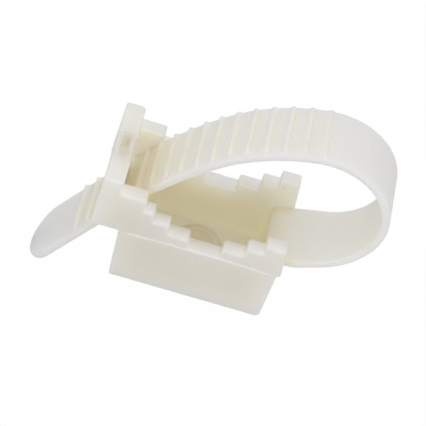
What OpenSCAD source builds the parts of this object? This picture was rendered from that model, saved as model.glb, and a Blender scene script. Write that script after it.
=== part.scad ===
// Cable strap holder: a stepped saddle base moulded in one piece with its toothed strap.
// Millimetres, +Z away from the wall, X along the base towards the strap's root.
// The origin is on the axis of the fixing hole, at the face that lies on the wall.

/* [Base] */
// Length of the lower box at the parting line
box_l = 28; // [25:0.5:36]
// Height of the lower box, from the wall to the parting line
box_h = 11.5; // [9:0.25:16]
// Thickness of the walls and cheeks
wall = 3; // [2.2:0.1:3.8]
// Thickness of the floor
floor_t = 2.85; // [1.8:0.05:4]
// Draft of the box's end walls in degrees
box_draft = 2; // [0:0.25:4]
// Depth of the box's sides behind the cheeks' outer faces
box_inset = 0.15; // [0.05:0.05:0.8]
// Rise of the parting line in the middle of the box's sides
parting_rise = 0.6; // [0.1:0.05:1]
// Radius of the box's lower corner at the strap's way out
box_r_out = 0.4; // [0.2:0.1:1.8]
// Radius of the box's lower corner at the strap's root
box_r_root = 0.9; // [0.2:0.1:1.8]

/* [Fixing hole] */
// Diameter of the fixing hole
hole_d = 6.2; // [4:0.1:7]
// Thickness of the collar round the hole
collar_t = 1.15; // [0.8:0.05:2]
// Height of the collar above the floor
collar_h = 1; // [0.4:0.1:2]

/* [Cheeks] */
// Clear width of the slot between the cheeks
slot_w = 13; // [11:0.25:18]
// Distance of the cradle's middle from the fixing hole
cradle_x = 0.85; // [-1:0.05:1.5]
// Height of the lowest tread above the parting line
tread_low = 0.5; // [0.5:0.05:1.5]
// Half the length of the lowest tread
tread_half = 2.95; // [2:0.05:3.4]
// Length of the second tread on each side
tread_second = 3.85; // [2:0.05:4.2]
// Length of the third tread on each side
tread_third = 2.95; // [1.5:0.05:3.2]
// Length of the fourth tread, beside the bridge
tread_fourth = 1.9; // [1.2:0.05:2.2]
// Rise of each step
step_rise = 1.95; // [1.4:0.05:2.4]
// Rise of the last step, up to the bridge's tread
last_rise = 2.45; // [1.6:0.05:3]
// Reach of the cheeks past the box at the strap's way out
reach_out = 5.05; // [4.5:0.05:7]
// Reach of the cheeks past the box at the strap's root
reach_root = 0.65; // [0.3:0.05:1.5]
// Lean of the cheeks' end at the strap's way out, in degrees
lean_out = 2; // [0:0.25:4]
// Lean of the cheeks' end at the strap's root, in degrees
lean_root = 5; // [0:0.25:7]
// Radius of the cheeks' lower corner at the strap's way out
foot_r = 1.1; // [0.3:0.1:1.8]
// Radius of the steps' edges
edge_r = 0.4; // [0.1:0.05:0.6]
// Radius in the corners under the steps
inner_r = 0.2; // [0.05:0.05:0.4]

/* [Bridge and pawl] */
// Width of the bridge along the base
bridge_w = 3.4; // [2.8:0.1:4.2]
// Height of the bridge's top above its tread
bridge_rise = 2.85; // [1.6:0.05:4]
// Depth of the bridge from its top
bridge_d = 4; // [3:0.1:5]
// Radius of the bridge's top edge on the cradle side
bridge_r = 0.7; // [0.2:0.05:0.9]
// Width of the window in the bridge, along the base
window_w = 1.2; // [0.8:0.05:1.5]
// Length of the window and width of the pawl behind it
window_l = 5.5; // [4:0.25:8]
// Length of the pawl's nose along the strap
nose_l = 1.15; // [0.6:0.05:1.2]
// Distance of the pawl's point past the window, along the base
pawl_in = 0.3; // [0.1:0.05:0.6]
// Clearance between the pawl and the strap's teeth
pawl_gap = 0.2; // [0.1:0.05:0.4]

/* [Strap] */
// Clearance between the strap and each cheek
strap_play = 0.6; // [0.3:0.05:1.5]
// Thickness of the strap
strap_t = 1.4; // [1:0.05:1.8]
// Clearance between the strap and the edge of the box that it slides over
strap_gap = 0.8; // [0.3:0.05:1]
// Depth of the strap's underside below the parting line at its root
root_drop = 1.3; // [0.8:0.05:2]
// Rise of the strap at its root, in degrees
root_angle = 22.5; // [15:0.5:28]
// Straight length at the strap's root
root_l = 7.7; // [5:0.05:9]
// Radius of the loop's outer surface at its round end
loop_r = 12.95; // [11:0.05:14.5]
// Turn of the flatter bend over the cradle, in degrees
shoulder_turn = 33; // [28:0.5:40]
// Radius of the slight bend above the bridge
ease_r = 84; // [60:1:120]
// Turn of the slight bend above the bridge, in degrees
ease_turn = 14.5; // [8:0.5:18]
// Slope of the tail to the wall, in degrees
tail_angle = 58.5; // [54:0.5:63]
// Smooth length of the tail past its last tooth
tail_l = 12.95; // [8:0.05:20]

/* [Teeth] */
// Pitch of the teeth along the strap
pitch = 3.17; // [2.9:0.01:3.6]
// Height of the teeth
tooth_h = 0.7; // [0.4:0.05:0.9]
// Length of each tooth's ramp, on the tail side
ramp_l = 1.25; // [0.8:0.05:1.4]
// Length of each tooth's locking face, on the loop side
lock_l = 0.2; // [0.05:0.05:0.3]
// Distance of the teeth from the strap's edges
tooth_inset = 0.15; // [0.05:0.05:0.6]
// Length of the slope at each end of a tooth
tooth_end = 0.25; // [0.1:0.05:0.6]
// Number of teeth on the tail side of the pawl's tooth
teeth_tail = 3; // [1:1:6]
// Number of teeth on the loop side of the pawl's tooth
teeth_loop = 13; // [6:1:14]

/* [Hidden] */
$fn = 96;
nylon = [0.93, 0.92, 0.86];
corner_steps = 4;
bend_step = 3;

// Overlap of pieces that are moulded together, and overrun of the cuts
lap = 0.4;

base_w = slot_w + 2 * wall;
strap_w = slot_w - 2 * strap_play;
box_w = base_w - 2 * box_inset;
parting = box_h;
box_end = box_l / 2;

// Half length of the box's outside at the height z, which the draft narrows downwards
function box_half(z) = box_end - (box_h - z) * tan(box_draft);

// Heights of the treads, from the lowest to the one beside the bridge
tread_z = [for (i = [0:4]) parting + tread_low + min(i, 3) * step_rise + (i == 4 ? last_rise : 0)];

// Distances of the steps from the cradle's middle
step_x = [
    tread_half,
    tread_half + tread_second,
    tread_half + tread_second + tread_third,
    tread_half + tread_second + tread_third + tread_fourth
];

bridge_top = tread_z[4] + bridge_rise;
bridge_low = bridge_top - bridge_d;
foot_out = -box_end - reach_out;
foot_root = box_end + reach_root;
bridge_out = foot_out + (bridge_top - parting) * tan(lean_out);
bridge_in = bridge_out + bridge_w;
cheek_end = foot_root - (tread_z[3] - parting) * tan(lean_root);

// Walls on both sides of the window are alike, and the inner one carries the pawl
window_out = bridge_out + (bridge_w - window_w) / 2;
window_in = window_out + window_w;

// Unit vector along the heading h in the XZ plane, and the one on its right hand
function ahead(h) = [cos(h), sin(h)];
function right(h) = [sin(h), -cos(h)];

// The strap's outer line: straight root, round loop, flatter shoulder, slight ease, straight tail.
// The tail passes the box's upper edge, and the shoulder's radius joins the others smoothly.
tail_h = 180 + tail_angle;
ease_h = tail_h - ease_turn;
shoulder_h = ease_h - shoulder_turn;
loop_turn = shoulder_h - root_angle;
root_start = [box_half(parting - root_drop), parting - root_drop];
loop_start = root_start + root_l * ahead(root_angle);
loop_c = loop_start - loop_r * right(root_angle);
edge_pass = [-box_end, parting] + (strap_gap + strap_t) * right(tail_h);
loop_reach = (edge_pass - loop_c) * right(tail_h);
ease_sag = ease_r * (1 - cos(ease_turn));
far_turn = ease_turn + shoulder_turn;
shoulder_r = (loop_reach - loop_r * cos(far_turn) - ease_sag) / (cos(ease_turn) - cos(far_turn));
shoulder_c = loop_c + (loop_r - shoulder_r) * right(shoulder_h);
ease_c = shoulder_c + (shoulder_r - ease_r) * right(ease_h);
tail_start = ease_c + ease_r * right(tail_h);

// Lengths along the outer line to the ends of the root, the loop, the shoulder and the ease
loop_from = root_l;
shoulder_from = loop_from + loop_r * loop_turn * PI / 180;
ease_from = shoulder_from + shoulder_r * shoulder_turn * PI / 180;
tail_from = ease_from + ease_r * ease_turn * PI / 180;

// Point and heading of the outer line at the length s from the root
function on_arc(c, r, h, s) = let (turned = h + s / r * 180 / PI) [c + r * right(turned), turned];
function on_strap(s) =
    s < loop_from ? [root_start + s * ahead(root_angle), root_angle]
    : s < shoulder_from ? on_arc(loop_c, loop_r, root_angle, s - loop_from)
    : s < ease_from ? on_arc(shoulder_c, shoulder_r, shoulder_h, s - shoulder_from)
    : s < tail_from ? on_arc(ease_c, ease_r, ease_h, s - ease_from)
    : [tail_start + (s - tail_from) * ahead(tail_h), tail_h];

// The pawl's point meets the strap just inside the back of its tongue
pawl_s = tail_from + (window_in + pawl_in - tail_start[0]) / cos(tail_h);
pawl_at = on_strap(pawl_s)[0];

// Heights between which the pawl's tongue hangs straight down
tongue_top = bridge_low + bridge_d / 2;
tongue_knee = pawl_at[1] + bridge_w;
tongue_in = bridge_in - edge_r / 2;

// Length along the strap to the tip of the tooth that the pawl holds, and to the tail's round end
held_s = pawl_s + pawl_gap + lock_l;
strap_l = held_s + teeth_tail * pitch + ramp_l + tail_l;
tip_r = strap_w / 2;
tip_from = strap_l - tip_r;

// Points of the arc that rounds the corner b of the path a, b, c
function rounded_corner(a, b, c, r) =
    let (u = (a - b) / norm(a - b), v = (c - b) / norm(c - b))
    let (half = acos(u * v) / 2, bisector = (u + v) / norm(u + v))
    let (m = b + bisector * r / sin(half), from = b + u * r / tan(half) - m)
    let (turn = (90 - half) * 2 * sign(cross(u, v)))
    [for (i = [0:corner_steps]) let (t = -turn * i / corner_steps)
        m + [from[0] * cos(t) - from[1] * sin(t), from[0] * sin(t) + from[1] * cos(t)]];

// Outline through the corners [x, y, radius], each rounded
function rounded_outline(corners) =
    let (n = len(corners))
    [for (i = [0:n - 1])
        let (a = corners[(i + n - 1) % n], b = corners[i], c = corners[(i + 1) % n])
        each rounded_corner([a[0], a[1]], [b[0], b[1]], [c[0], c[1]], b[2])];

// Side view of a cheek, from its foot at the strap's way out round by the stairs to the bridge
cheek_corners = concat(
    [[foot_out, parting, foot_r], [foot_root, parting, edge_r], [cheek_end, tread_z[3], edge_r]],
    [for (i = [2:-1:0]) each [
        [cradle_x + step_x[i], tread_z[i + 1], edge_r],
        [cradle_x + step_x[i], tread_z[i], inner_r]
    ]],
    [for (i = [0:3]) each [
        [cradle_x - step_x[i], tread_z[i], inner_r],
        [cradle_x - step_x[i], tread_z[i + 1], edge_r]
    ]],
    [
        [bridge_in, tread_z[4], inner_r],
        [bridge_in, bridge_top, bridge_r],
        [bridge_out, bridge_top, edge_r]
    ]
);

// A side view drawn in XZ, as thick as w along Y and centred on y
module across(w, y = 0) {
    translate([0, y + w / 2, 0])
        rotate([90, 0, 0])
            linear_extrude(w)
                children();
}

// Both cheeks, with the stairs that cradle the cable, set back below the parting line
module cheeks() {
    for (side = [-1, 1])
        difference() {
            across(wall, side * (slot_w + wall) / 2)
                polygon(rounded_outline(cheek_corners));
            across(box_inset + lap, side * (box_w + box_inset + lap) / 2)
                below_parting();
        }
}

// Side view of what lies below the parting line, which rises to the middle in one arc
module below_parting() {
    arc_r = (box_end * box_end + parting_rise * parting_rise) / (2 * parting_rise);
    intersection() {
        translate([0, parting + parting_rise - arc_r])
            circle(r = arc_r, $fn = 4 * $fn);
        translate([-box_end, parting - lap])
            square([box_l, parting_rise + 2 * lap]);
    }
}

// Lower box with its pocket: the side walls run up into the cheeks, the end walls stop at the parting line
module box() {
    top = parting + lap;
    difference() {
        across(box_w)
            polygon(rounded_outline([
                [-box_half(0), 0, box_r_out],
                [box_half(0), 0, box_r_root],
                [box_half(top), top, inner_r],
                [-box_half(top), top, inner_r]
            ]));
        across(slot_w)
            polygon([
                [-box_half(floor_t) + wall, floor_t],
                [box_half(floor_t) - wall, floor_t],
                [box_half(parting) - wall, parting],
                [box_half(parting) - wall, parting + 2 * lap],
                [-box_half(parting) + wall, parting + 2 * lap],
                [-box_half(parting) + wall, parting]
            ]);
        translate([-box_l, -slot_w / 2, parting])
            cube([2 * box_l, slot_w, 2 * lap]);
        translate([0, 0, -lap])
            cylinder(d = hole_d, h = floor_t + 2 * lap);
    }
}

// Raised collar round the fixing hole
module collar() {
    difference() {
        translate([0, 0, floor_t - lap])
            cylinder(d = hole_d + 2 * collar_t, h = collar_h + lap);
        translate([0, 0, -lap])
            cylinder(d = hole_d, h = floor_t + collar_h + 2 * lap);
    }
}

// Bridge between the cheeks, with the window that frees the back of the pawl
module bridge() {
    difference() {
        across(slot_w + 2 * lap)
            polygon(rounded_outline([
                [bridge_out - (bridge_d * tan(lean_out)), bridge_low, edge_r],
                [bridge_in, bridge_low, edge_r],
                [bridge_in, bridge_top, bridge_r],
                [bridge_out, bridge_top, edge_r]
            ]));
        translate([window_out, -window_l / 2, bridge_low - lap])
            cube([window_w, window_l, bridge_d + 2 * lap]);
    }
}

// Tongue that hangs from the bridge's inner wall, with its nose between two teeth of the strap
module pawl() {
    out = right(tail_h);
    back = -ahead(tail_h);
    across(window_l)
        polygon([
            [window_in, tongue_top],
            [window_in, tongue_knee],
            pawl_at + (tooth_h + pawl_gap) * out,
            pawl_at + pawl_gap * out,
            pawl_at + pawl_gap * out + nose_l * back,
            [tongue_in, tongue_knee],
            [tongue_in, tongue_top]
        ]);
}

// Points of a bend round the centre c from the heading h on, without its first one
function bend_points(c, r, h, turn) =
    let (n = ceil(turn / bend_step))
    [for (i = [1:n]) c + r * right(h + turn * i / n)];

// The strap's line at the depth t below its outer surface, from the root's end to the tip
function strap_line(t) = concat(
    [loop_start - t * right(root_angle)],
    bend_points(loop_c, loop_r - t, root_angle, loop_turn),
    bend_points(shoulder_c, shoulder_r - t, shoulder_h, shoulder_turn),
    bend_points(ease_c, ease_r - t, ease_h, ease_turn),
    [on_strap(strap_l)[0] - t * right(tail_h)]
);

function reversed(v) = [for (i = [len(v) - 1:-1:0]) v[i]];

// Places what is drawn along Z, with X outwards, at the length s of the strap
module at_strap(s) {
    place = on_strap(s);
    translate([place[0][0], 0, place[0][1]])
        rotate([0, 90 - place[1], 0])
            children();
}

// The strap's band: its root is thickest in the end wall, its tip is round
module band() {
    inside = box_end - wall;
    difference() {
        across(strap_w)
            polygon(concat(
                [[inside, parting], [inside, parting - root_drop], root_start],
                strap_line(0),
                reversed(strap_line(strap_t))
            ));
        at_strap(tip_from)
            translate([lap, 0, 0])
                rotate([0, -90, 0])
                    linear_extrude(strap_t + 2 * lap)
                        tip_cut();
    }
}

// What the round tip leaves of the tail's end, drawn along the tail
module tip_cut() {
    out = tip_r + lap;
    polygon(concat(
        [for (a = [90:-bend_step * 2:-90]) tip_r * ahead(a)],
        [[0, -out], [out, -out], [out, out], [0, out]]
    ));
}

// One tooth: locking face towards the loop, ramp towards the tail, sloped ends
module tooth() {
    sunk = tooth_h / 4;
    grow = 1 + sunk / tooth_h;
    foot_w = strap_w - 2 * tooth_inset;
    end_grow = tooth_end * sunk / tooth_h;
    intersection() {
        across(strap_w)
            polygon([[-sunk, -lock_l * grow], [tooth_h, 0], [-sunk, ramp_l * grow]]);
        translate([0, 0, -pitch / 2])
            linear_extrude(pitch)
                polygon([
                    [-sunk, -foot_w / 2 - end_grow],
                    [-sunk, foot_w / 2 + end_grow],
                    [tooth_h + lap, foot_w / 2 - tooth_end * (1 + lap / tooth_h)],
                    [tooth_h + lap, -foot_w / 2 + tooth_end * (1 + lap / tooth_h)]
                ]);
    }
}

module strap() {
    band();
    for (i = [-teeth_loop:teeth_tail])
        at_strap(held_s + i * pitch)
            tooth();
}

module strap_holder() {
    color(nylon) {
        cheeks();
        box();
        collar();
        bridge();
        pawl();
        strap();
    }
}

strap_holder();
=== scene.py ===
"""Visual model of a moulded cable strap holder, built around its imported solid."""

import math
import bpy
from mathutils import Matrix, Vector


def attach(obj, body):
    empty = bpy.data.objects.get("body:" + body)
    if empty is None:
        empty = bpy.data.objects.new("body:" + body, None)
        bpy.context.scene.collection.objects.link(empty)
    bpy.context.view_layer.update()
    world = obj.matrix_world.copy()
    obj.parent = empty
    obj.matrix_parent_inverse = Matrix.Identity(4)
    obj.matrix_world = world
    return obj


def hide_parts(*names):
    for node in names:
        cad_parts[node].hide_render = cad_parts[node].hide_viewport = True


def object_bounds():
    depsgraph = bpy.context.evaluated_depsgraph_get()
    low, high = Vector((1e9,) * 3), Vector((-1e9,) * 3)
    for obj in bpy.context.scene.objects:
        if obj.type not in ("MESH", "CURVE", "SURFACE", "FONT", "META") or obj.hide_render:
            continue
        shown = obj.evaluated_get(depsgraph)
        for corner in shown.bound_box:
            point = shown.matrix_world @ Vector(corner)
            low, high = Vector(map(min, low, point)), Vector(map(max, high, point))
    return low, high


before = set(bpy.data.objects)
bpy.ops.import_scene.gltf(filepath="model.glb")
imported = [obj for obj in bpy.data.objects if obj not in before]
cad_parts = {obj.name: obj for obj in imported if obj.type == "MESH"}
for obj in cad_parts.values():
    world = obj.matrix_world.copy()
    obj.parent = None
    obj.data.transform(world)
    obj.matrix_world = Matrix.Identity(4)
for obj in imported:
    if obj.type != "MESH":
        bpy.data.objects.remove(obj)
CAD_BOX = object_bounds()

from types import SimpleNamespace

import bmesh
import bpy
from mathutils import Matrix, Vector

bl_info = {
    "name": "Cable Strap Holder",
    "version": (1, 0, 0),
    "blender": (4, 5, 0),
    "location": "3D View > Sidebar > Strap Holder",
    "description": "Builds the visual model of a moulded cable strap holder",
    "category": "Object",
}

NODE = "strap_holder"
BODY = "root"

# Lengths are kept in metres in the properties and worked on in millimetres
MM = 0.001

# The notch in the strap's near edge starts this many times more steeply than it runs out
NIP_STEEPNESS = 5
# Places across the strap's outer face where the teeth's ends slope, as distances in from its rounded edge
TOOTH_LINES = (0.08, 0.22, 0.42, 0.68, 1.05)
# Places across the rest of the strap, as shares of its half width
ACROSS = (0.6, 0.3, 0.0)
# Slow and quick waves of an uneven moulded edge, as (turn for each millimetre, start, share of the waver)
WAVES = ((1.9, 0.0, 0.5), (4.3, 1.2, 0.3), (9.7, 0.4, 0.2))
# The flash's height and depth wander apart from its line, each at its own (rate, start, share of the waver)
TALL_WANDER = (1.7, 5, 1.0)
DEEP_WANDER = (1.3, 9, 0.6)
# Share of the flash's depth by which it is set into the side
FLASH_SUNK = 0.1

# How the nylon carries light: refraction, share and tint of the light that travels inside
NYLON_IOR = 1.53
BLEED_SHARE = 0.9
BLEED_TINT = (1.0, 0.92, 0.72)
WHITE = (1.0, 1.0, 1.0)
# Specks to each metre, and the strap's share of the depth that counts as thin
SADDLE_SPECKS = 330.0
STRAP_SPECKS = 520.0
STRAP_SKIN = 0.8
# Ranges of openness over which each painted tone of light and shade gives way to the next
CREASE_RANGE = (0.6, 1.0)
HALF_OPEN_RANGE = (0.3, 1.0)
HOLLOW_RANGE = (0.2, 0.62)
POCKET_RANGE = (0.38, 0.7)
THIN_RANGE = (0.3, 1.0)
OPEN_EDGE_RANGE = (0.6, 0.95)
HALF_SHUT_RANGE = (0.55, 0.95)
SHUT_RANGE = (0.3, 0.5)
# Heights over which the pocket's painted glow ends, from the rim of the box
RIM_RANGE = (-2 * MM, 1 * MM)
# Radii of the specks, as shares of their spacing
SPECK_RANGE = (0.025, 0.05)

# Places and sizes of the lamps, in metres
KEY_PLACE, KEY_SIZE = (-0.42, -0.12, 0.2), 0.3
FILL_PLACE, FILL_SIZE = (0.1, -0.4, 0.08), 0.14
TOP_PLACE, TOP_SIZE = (0.06, -0.02, 0.45), 0.3
# Half the floor's width in metres, and the share of white that the camera sees in it
FLOOR_SIZE = 3.0
FLOOR_WHITE = 0.985


def length(name, millimetres, description):
    """A length property with its default given in millimetres."""
    return bpy.props.FloatProperty(
        name=name, description=description, default=millimetres * MM, unit="LENGTH", precision=5)


def turn(name, degrees, description):
    """An angle property with its default given in degrees."""
    return bpy.props.FloatProperty(
        name=name, description=description, default=math.radians(degrees), unit="ROTATION")


def tint(name, rgb, description):
    """A colour property, in linear values."""
    return bpy.props.FloatVectorProperty(
        name=name, description=description, default=rgb, size=3, subtype="COLOR", min=0.0, max=1.0)


def share(name, default, description):
    """A property between nought and one."""
    return bpy.props.FloatProperty(
        name=name, description=description, default=default, subtype="FACTOR", min=0.0, max=1.0)


class HolderSaddleSizes(bpy.types.PropertyGroup):
    """Sizes of the saddle: box, cheeks, bridge and pawl."""

    box_length: length("Box length", 28, "Length of the lower box at the parting line")
    box_height: length("Box height", 11.5, "Height of the lower box up to the parting line")
    box_draft: turn("Box draft", 2, "Draft of the box's end walls")
    box_corner_out: length("Corner at way out", 0.48, "Lower corner of the box at the strap's way out")
    box_corner_root: length("Corner at root", 0.9, "Lower corner of the box at the strap's root")
    wall: length("Wall", 3, "Thickness of the walls and cheeks")
    floor: length("Floor", 2.85, "Thickness of the floor")
    slot: length("Slot", 13, "Clear width between the cheeks")
    hole: length("Hole", 6.2, "Diameter of the fixing hole")
    collar: length("Collar", 1.15, "Thickness of the collar round the hole")
    collar_height: length("Collar height", 1, "Height of the collar above the floor")
    cradle: length("Cradle", 0.85, "Distance of the cradle's middle from the fixing hole")
    tread_low: length("Lowest tread", 0.5, "Height of the lowest tread above the parting line")
    tread_half: length("Half of lowest tread", 2.95, "Half the length of the lowest tread")
    tread_second: length("Second tread", 3.85, "Length of the second tread on each side")
    tread_third: length("Third tread", 2.95, "Length of the third tread on each side")
    tread_fourth: length("Fourth tread", 1.9, "Length of the tread beside the bridge")
    step_rise: length("Step", 1.95, "Rise of each step")
    last_rise: length("Last step", 2.45, "Rise of the last step, up to the bridge's tread")
    reach_out: length("Reach at way out", 5.05, "Reach of the cheeks past the box at the strap's way out")
    reach_root: length("Reach at root", 0.65, "Reach of the cheeks past the box at the strap's root")
    lean_out: turn("Lean at way out", 2, "Lean of the cheeks' end at the strap's way out")
    lean_root: turn("Lean at root", 5, "Lean of the cheeks' end at the strap's root")
    foot_corner: length("Foot corner", 1.1, "Lower corner of the cheeks at the strap's way out")
    step_edge: length("Step edge", 0.48, "Radius of the steps' edges in side view")
    step_hollow: length("Step hollow", 0.2, "Radius in the corners under the steps")
    under_foot: length("Hollow at way out", 0.35, "Radius in the corner between the box and the longer feet")
    under_root: length("Hollow at root", 0.9, "Radius of the hollow under the feet at the strap's root")
    flare: length("Flare", 0.35, "Height of the slope under the feet at the strap's root")
    bridge_width: length("Bridge width", 3.4, "Width of the bridge along the base")
    bridge_rise: length("Bridge rise", 2.85, "Height of the bridge's top above its tread")
    bridge_depth: length("Bridge depth", 4, "Depth of the bridge from its top")
    bridge_edge: length("Bridge edge", 0.7, "Radius of the bridge's top edge on the cradle side")
    window_width: length("Window width", 1.3, "Width of the window in the bridge")
    window_length: length("Window length", 5.5, "Length of the window and width of the pawl")
    pawl_nose: length("Pawl nose", 1.15, "Length of the pawl's nose along the strap")
    pawl_in: length("Pawl setback", 0.37, "Distance of the pawl's point past the window")
    pawl_gap: length("Pawl gap", 0.12, "Clearance between the pawl and the teeth")
    rim_outside: length("Outer rims", 0.46, "Rounding of the rims along the outer faces")
    rim_inside: length("Inner rims", 0.42, "Rounding of the rims along the slot and the pocket")
    rim_fine: length("Fine rims", 0.13, "Rounding of the window, the collar and the pawl")


class HolderStrapSizes(bpy.types.PropertyGroup):
    """Sizes of the toothed strap and its path."""

    play: length("Play", 0.55, "Clearance between the strap and each cheek")
    thickness: length("Thickness", 1.4, "Thickness of the strap")
    gap: length("Gap", 0.8, "Clearance between the strap and the edge of the box")
    root_drop: length("Root drop", 1.3, "Depth of the strap's underside below the parting line")
    root_rise: turn("Root rise", 22.5, "Rise of the strap at its root")
    root_length: length("Root length", 7.7, "Straight length at the strap's root")
    root_spread: length("Root spread", 0.57, "Widening of the strap at its root, to each side")
    root_fade: length("Root fade", 18, "Length over which the strap's widening fades")
    nip: length("Nip", 0.65, "Depth of the notch in the strap's near edge beside the cheek")
    nip_length: length("Nip length", 3, "Length over which the notch runs out")
    loop_radius: length("Loop radius", 12.95, "Radius of the loop's outer surface")
    shoulder_turn: turn("Shoulder turn", 33, "Turn of the flatter bend over the cradle")
    ease_radius: length("Ease radius", 84, "Radius of the slight bend above the bridge")
    ease_turn: turn("Ease turn", 14.5, "Turn of the slight bend above the bridge")
    tail_slope: turn("Tail slope", 58.5, "Slope of the tail to the wall")
    tail_length: length("Tail length", 13.3, "Smooth length of the tail past its last tooth")
    edge_outer: length("Outer edge", 0.6, "Rounding of the strap's edges on the toothed side")
    edge_inner: length("Inner edge", 0.55, "Rounding of the strap's edges on the cable side")


class HolderToothSizes(bpy.types.PropertyGroup):
    """Sizes and number of the ratchet teeth."""

    pitch: length("Pitch", 3.19, "Pitch of the teeth along the strap")
    height: length("Height", 0.74, "Height of the teeth")
    ramp: length("Ramp", 0.95, "Length of the ramp on the tail side")
    lock: length("Locking face", 0.42, "Length of the locking face on the loop side")
    tip: length("Tip", 0.26, "Rounding of the teeth's tips")
    foot: length("Foot", 0.2, "Rounding at the teeth's feet")
    near_lip: length("Near lip", 0.6, "Distance of the teeth's near ends from the strap's edge")
    near_slope: length("Near slope", 0.9, "Length of the slope at the teeth's near ends")
    far_lip: length("Far lip", 0.1, "Distance of the teeth's far ends from the strap's edge")
    far_slope: length("Far slope", 0.45, "Length of the slope at the teeth's far ends")
    on_tail: bpy.props.IntProperty(
        name="Teeth on tail", description="Teeth on the tail side of the pawl's tooth", default=3, min=1)
    on_loop: bpy.props.IntProperty(
        name="Teeth on loop", description="Teeth on the loop side of the pawl's tooth", default=13, min=1)


class HolderFlashSizes(bpy.types.PropertyGroup):
    """Sizes of the thin flash that the mould leaves along its parting line."""

    rise: length("Rise", 0.38, "Rise of the parting line in the middle of the box's sides")
    height: length("Height", 0.42, "Height of the flash along the side")
    proud: length("Proud", 0.2, "Distance that the flash stands proud of the side")
    waver: length("Waver", 0.07, "Waver of the flash along its length")


class HolderNylonLook(bpy.types.PropertyGroup):
    """Colours and finish of the moulded nylon, with painted light and shade for its hollows, creases and thin
    edges.
    """

    milk: tint("Milk", (0.735, 0.702, 0.605), "Colour of the thick nylon in the light")
    # Painted fill light: a brighter tone in half open places, standing in for light that reaches them
    half_open_light: tint("Butter", (0.985, 0.965, 0.885), "Colour of the saddle's nylon in half open places")
    # Painted light: a cooler tone along open thin edges, standing in for light passing through the nylon
    thin_edge_light: tint("Pearl", (0.69, 0.68, 0.64), "Colour of the saddle's nylon along its thin edges")
    # Painted fill light on the strap in half open places
    strap_half_open_light: tint("Strap_Half_Open_Light", (0.9, 0.86, 0.625), "Colour of the strap's nylon in half open places")
    # Painted light: the cooler tone of light passing through the strap's thin nylon
    strap_thin_edge_light: tint("Strap_Thin_Edge_Light", (0.757, 0.752, 0.708), "Colour of the strap's thin nylon")
    # Painted shade: a tint multiplied into the creases beside steps
    tan: tint("Tan", (1.0, 0.99, 0.96), "Tint that creases of the saddle add")
    # Painted shade: a tint multiplied into the teeth's feet, where their shadow falls
    tooth_foot_shade: tint("Tooth_Foot_Shade", (0.885, 0.85, 0.755), "Tint that the teeth's feet add")
    # Painted light: a bright warm glow in deep hollows and the pocket, standing in for light through the
    # walls; also the tone the cloud drifts to
    honey_and_hollow_glow: tint("Honey", (0.98, 0.842, 0.578), "Colour of the saddle's nylon in its deep hollows")
    # Painted light: the strap's bright warm glow in deep hollows; also the tone its cloud drifts to
    wax_and_hollow_glow: tint("Wax_And_Hollow_Glow", (0.95, 0.87, 0.6), "Colour of the strap's nylon in deep hollows")
    # Painted shade: a tint multiplied into half shut upright walls
    upright_wall_shade: tint("Amber", (0.84, 0.82, 0.7), "Tint that half open, upright walls of the saddle add")
    frost: tint("Frost", (0.88, 0.88, 0.89), "Colour of the thin flash")
    soot: tint("Soot", (0.2, 0.17, 0.14), "Colour of the specks moulded into the nylon")
    satin: share("Satin", 0.58, "Mean roughness of the surface")
    hollow: length("Hollow", 20, "Distance over which nearby walls make a hollow")
    crease: length("Crease", 2.2, "Distance over which a step makes a crease")
    skin: length("Skin", 3.2, "Depth over which an edge counts as thin")
    bleed: length("Bleed", 20.0, "Distance that light travels inside the nylon")


class HolderStudio(bpy.types.PropertyGroup):
    """Camera, lamps and floor."""

    floor_drop: length("Floor drop", 0.05, "Distance of the floor below the lowest point")
    floor_colour: tint("Floor", (0.8, 0.8, 0.8), "Colour of the floor")
    sky: tint("Sky", (0.99, 0.985, 1.0), "Colour of the light from all round")
    sky_strength: bpy.props.FloatProperty(
        name="Sky strength", description="Strength of the light from all round", default=0.68, min=0.0)
    key_power: bpy.props.FloatProperty(
        name="Key", description="Power of the lamp on the left", default=0.28, min=0.0, unit="POWER")
    fill_power: bpy.props.FloatProperty(
        name="Fill", description="Power of the lamp at the front", default=0.3, min=0.0, unit="POWER")
    top_power: bpy.props.FloatProperty(
        name="Top", description="Power of the lamp above", default=0.46, min=0.0, unit="POWER")
    aim_x: length("Aim X", 0.85, "Place that the camera looks at, along the base")
    aim_z: length("Aim Z", 12.24, "Height that the camera looks at")
    distance: length("Distance", 336, "Distance of the camera from the place it looks at")
    azimuth: turn("Azimuth", -4.03, "Turn of the camera round the part from the front")
    elevation: turn("Elevation", 46.96, "Height of the camera above the horizon")
    roll: turn("Roll", 19.19, "Roll of the camera")
    lens: bpy.props.FloatProperty(
        name="Lens", description="Focal length in millimetres", default=164.45, min=1.0, unit="CAMERA")


def measures(group):
    """The values of a property group, with its lengths in millimetres."""
    values = {}
    for key in type(group).__annotations__:
        prop = group.bl_rna.properties[key]
        value = getattr(group, key)
        values[key] = value / MM if prop.type == "FLOAT" and prop.unit == "LENGTH" else value
    return SimpleNamespace(**values)


def ahead(heading):
    """Unit vector along a heading in the XZ plane."""
    return Vector((math.cos(heading), math.sin(heading)))


def right(heading):
    """Unit vector on the right hand of a heading in the XZ plane."""
    return Vector((math.sin(heading), -math.cos(heading)))


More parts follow.
